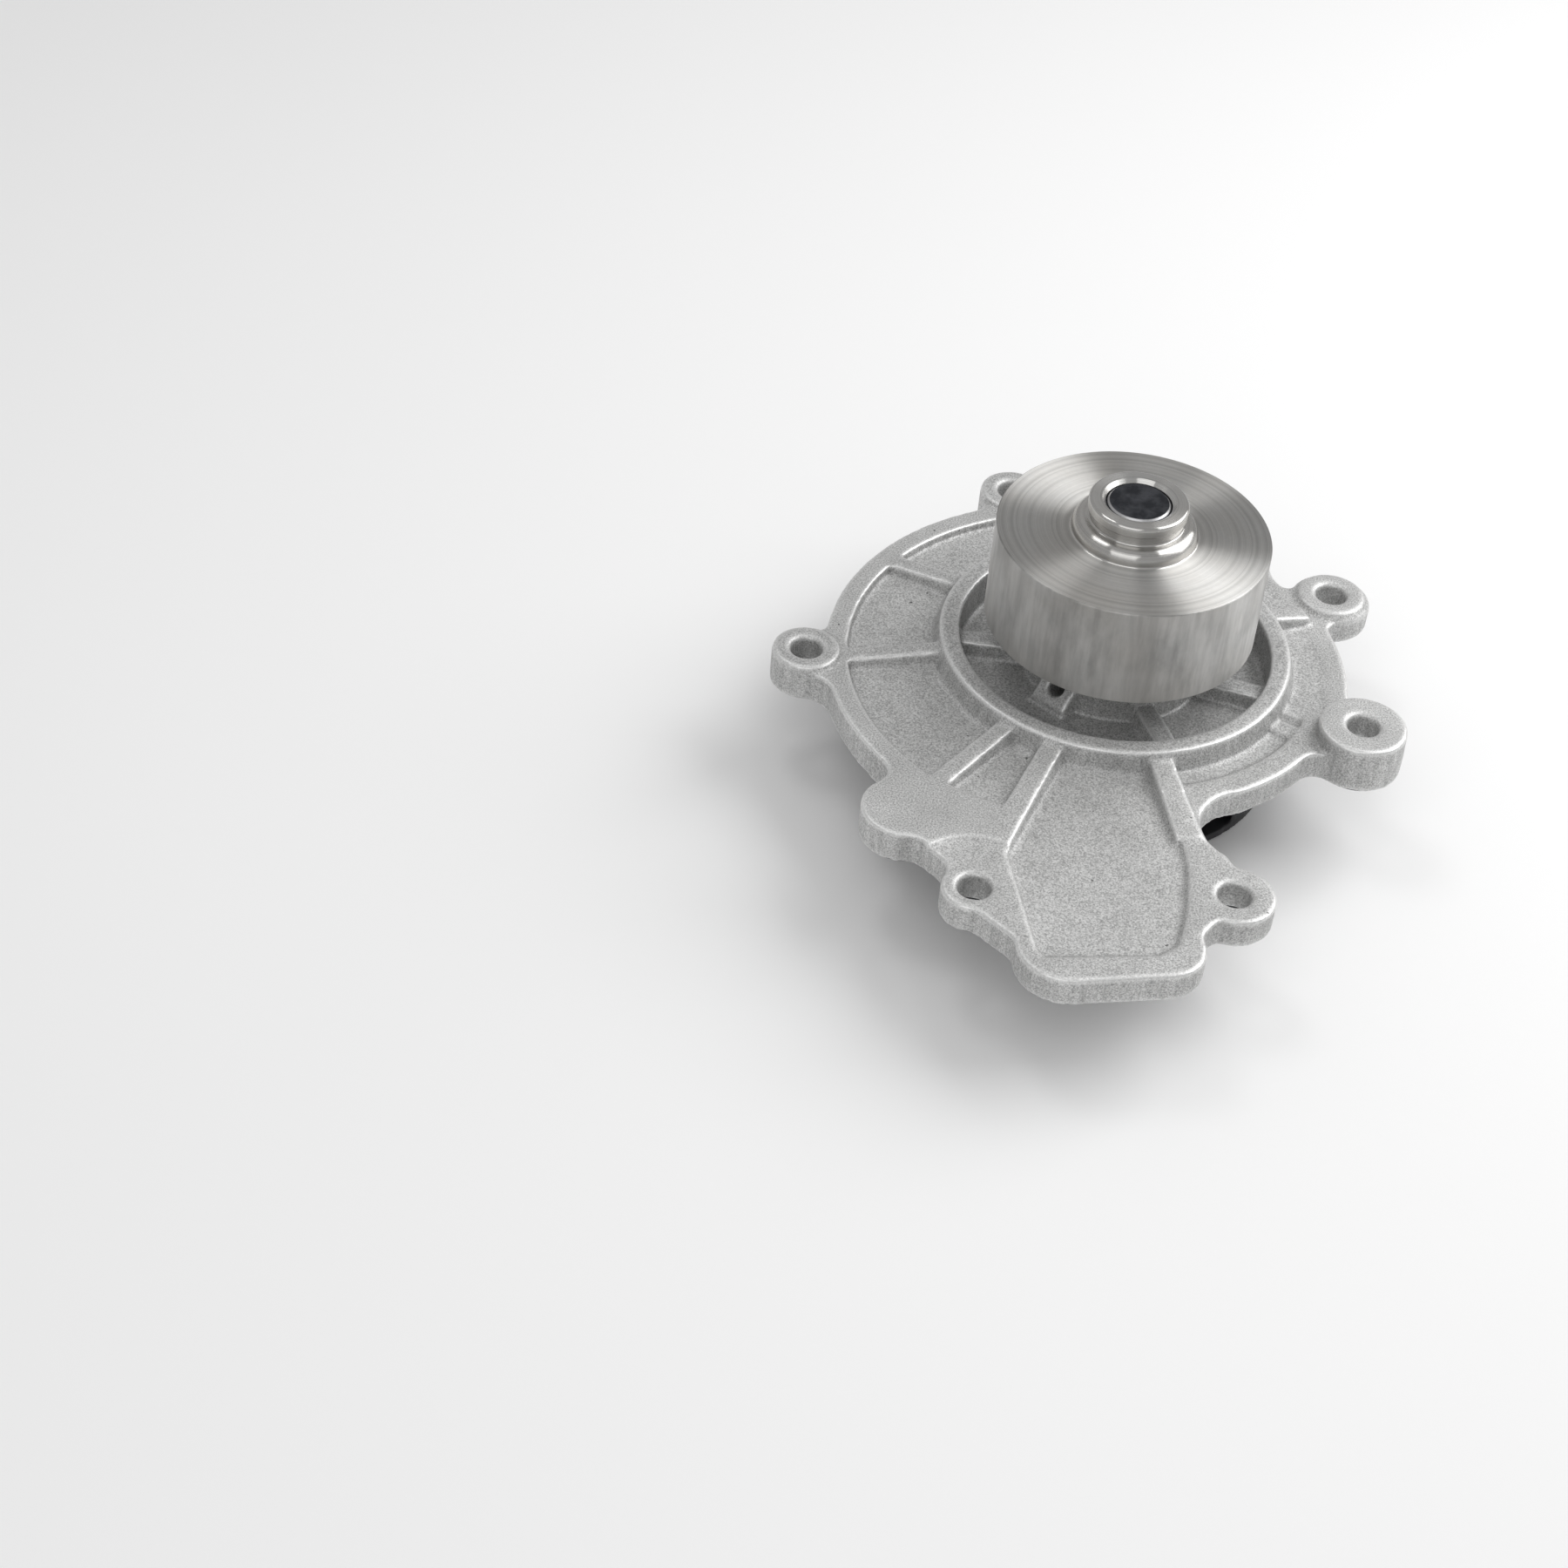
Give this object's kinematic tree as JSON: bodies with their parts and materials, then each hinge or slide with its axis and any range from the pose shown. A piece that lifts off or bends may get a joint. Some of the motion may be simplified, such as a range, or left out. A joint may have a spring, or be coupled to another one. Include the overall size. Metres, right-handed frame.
{
  "type": "water pump",
  "caption": "Belt-driven engine coolant pump: cast aluminium cover with bolt ears, smooth steel pulley, sealed shaft bearing, face seal, closed impeller and fitted gasket.",
  "frame": {"origin": "point where the shaft axis meets the cover's flat mounting face", "axes": "+Z along the shaft axis from the impeller to the pulley; -Y from the shaft axis towards the outlet lobe of the cover; +X to the right of that, seen from the pulley side"},
  "size_m": [0.154, 0.1843, 0.0748],
  "materials": {
    "cast_aluminium": "shot-blasted die casting, light grey, bright worn edges",
    "turned_steel": "turned and bored steel, satin side, circular tool marks on top",
    "shaft_steel": "ground bearing steel with black oxide on the end",
    "bearing_steel": "ground bearing steel",
    "cage_polymer": "glass-filled polyamide",
    "black_rubber": "moulded rubber",
    "gasket_coating": "rubber-coated steel sheet with an embossed bead",
    "pressed_steel": "pressed stainless sheet",
    "spring_steel": "drawn stainless wire",
    "carbon": "lapped carbon graphite",
    "seal_ceramic": "lapped silicon carbide",
    "impeller_polymer": "black glass-filled moulding",
    "insert_metal": "machined brass"
  },
  "bodies": {
    "cover": {"cover_housing": "cast_aluminium", "gasket": "gasket_coating", "bearing_outer_ring": "bearing_steel", "front_bearing_seal": "black_rubber", "rear_bearing_seal": "black_rubber", "seal_cup": "pressed_steel", "seal_bellows": "black_rubber", "seal_spring": "spring_steel", "seal_ferrule": "pressed_steel", "seal_carbon_ring": "carbon"},
    "rotor": {"shaft": "shaft_steel", "pulley": "turned_steel", "impeller": "impeller_polymer", "impeller_insert": "insert_metal", "seal_sleeve": "pressed_steel", "seal_mating_ring": "seal_ceramic", "mating_ring_boot": "black_rubber", "slinger": "pressed_steel"},
    "ball_set": {"ball_cage": "cage_polymer", "bearing_balls": "bearing_steel"},
    "roller_set": {"roller_cage": "cage_polymer", "bearing_rollers": "bearing_steel"}
  },
  "joints": [
    {"name": "rotor_spin", "type": "hinge", "parent": "cover", "child": "rotor", "pos_m": [0, 0, 0.0234], "axis": [0, 0, 1], "continuous": true},
    {"name": "ball_orbit", "type": "hinge", "parent": "cover", "child": "ball_set", "pos_m": [0, 0, 0.014], "axis": [0, 0, 1], "continuous": true},
    {"name": "roller_orbit", "type": "hinge", "parent": "cover", "child": "roller_set", "pos_m": [0, 0, 0.0306], "axis": [0, 0, 1], "continuous": true}
  ],
  "couplings": [
    {"joint": "ball_orbit", "follows": "rotor_spin", "ratio": 0.36735},
    {"joint": "roller_orbit", "follows": "rotor_spin", "ratio": 0.38526}
  ]
}
